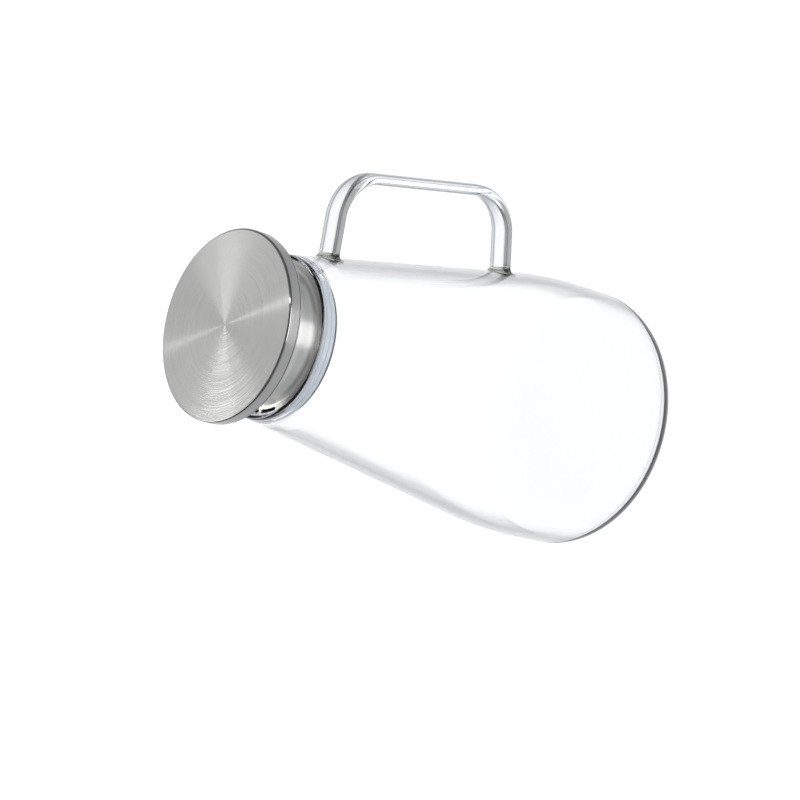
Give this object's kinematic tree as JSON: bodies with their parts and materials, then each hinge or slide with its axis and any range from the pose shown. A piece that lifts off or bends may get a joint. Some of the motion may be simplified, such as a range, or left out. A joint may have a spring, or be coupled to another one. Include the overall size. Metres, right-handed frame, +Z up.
{
  "type": "glass jug",
  "caption": "Tall conical clear glass water jug with a fused glass strap handle and a lift-out waisted steel flow lid with a brushed disc top, a sealing ring, a tilt valve and a strainer.",
  "frame": {"origin": "centre of the flat base, on the surface the jug stands on", "axes": "+Z up along the jug's axis, +X towards the handle, -X the side it pours over"},
  "size_m": [0.1749, 0.14, 0.2575],
  "materials": {
    "clear_glass": "clear, fire polished",
    "handle_glass": "clear, fire polished",
    "brushed_steel": "brushed in circles",
    "satin_steel": "satin",
    "polished_steel": "polished",
    "strainer_steel": "tumbled",
    "screw_steel": "bright",
    "grey_silicone": "matt, slightly translucent",
    "white_silicone": "matt, translucent",
    "white_plastic": "moulded",
    "dark_plastic": "moulded"
  },
  "bodies": {
    "jug": {"glass_body": "clear_glass", "glass_handle": "handle_glass"},
    "lid": {"cap_shell": "brushed_steel", "cap_base_plate": "satin_steel", "neck_sleeve": "polished_steel", "cap_gasket": "white_silicone", "seal_ring": "grey_silicone", "plug_core": "dark_plastic", "valve_guide": "white_plastic", "strainer": "strainer_steel", "clamp_screws": "screw_steel", "clamp_nuts": "screw_steel"},
    "valve": {"flow_valve": "white_plastic", "valve_gasket": "white_silicone"}
  },
  "joints": [
    {"name": "lid_lift", "type": "slide", "parent": "jug", "child": "lid", "axis": [0, 0, 1], "range_m": [0, 0.09]},
    {"name": "valve_lift", "type": "slide", "parent": "lid", "child": "valve", "axis": [0, 0, 1], "range_m": [0, 0.006]}
  ]
}
